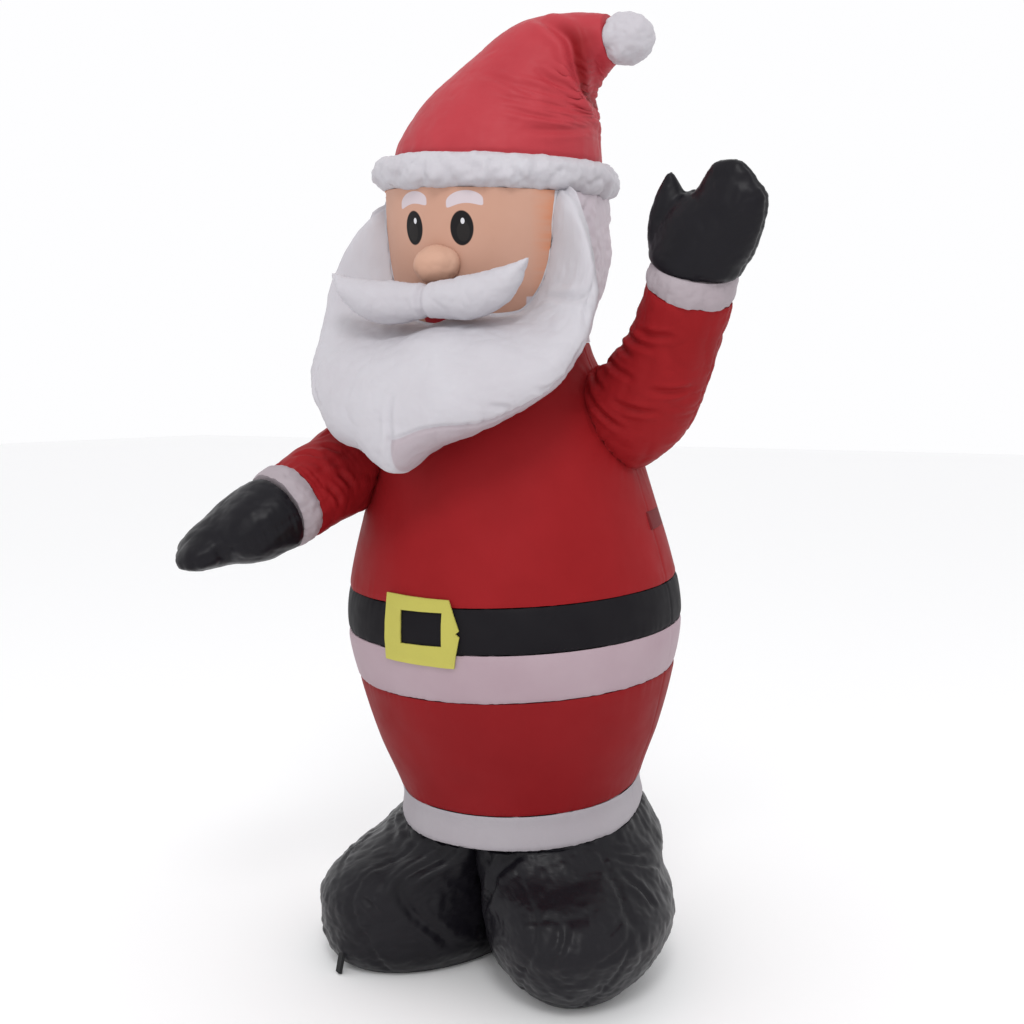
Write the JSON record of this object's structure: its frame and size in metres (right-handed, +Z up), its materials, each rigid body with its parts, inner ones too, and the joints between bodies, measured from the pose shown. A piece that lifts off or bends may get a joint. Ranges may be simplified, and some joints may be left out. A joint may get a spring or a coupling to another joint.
{
  "type": "inflatable santa",
  "caption": "Air-filled nylon garden Santa that waves one arm, with bent hat, beard pillow, banded round body and swollen boots; stands on its soles.",
  "frame": {"origin": "middle of the bounding box's underside, on the floor under the figure", "axes": "+Z up, -Y the way the figure faces, +X towards its raised left hand"},
  "size_m": [0.6188, 0.5734, 1.1775],
  "materials": {
    "red_nylon": "satin woven nylon, lit a little from within",
    "white_nylon": "thin white woven nylon with a faint pink cast",
    "black_nylon": "crinkled black nylon with a grey sheen",
    "skin_nylon": "skin-coloured woven nylon with a printed doll face",
    "yellow_cloth": "matt yellow cloth patch",
    "tab_cloth": "doubled dark red cloth tab",
    "black_webbing": "ribbed black webbing"
  },
  "bodies": {
    "root": {"boot_left": "black_nylon", "boot_right": "black_nylon", "boot_trim": "white_nylon", "trousers": "red_nylon", "jacket_hem": "white_nylon", "belt": "black_nylon", "buckle": "yellow_cloth", "jacket": "red_nylon", "tether_tab_left": "tab_cloth", "tether_tab_right": "tab_cloth", "sleeve_left": "red_nylon", "cuff_left": "white_nylon", "mitten_left": "black_nylon", "sleeve_right": "red_nylon", "cuff_right": "white_nylon", "mitten_right": "black_nylon", "face": "skin_nylon", "nose": "skin_nylon", "hair": "white_nylon", "beard": "white_nylon", "moustache": "white_nylon", "hat": "red_nylon", "hat_brim": "white_nylon", "pompom": "white_nylon", "stake_loop": "black_webbing"}
  },
  "joints": []
}
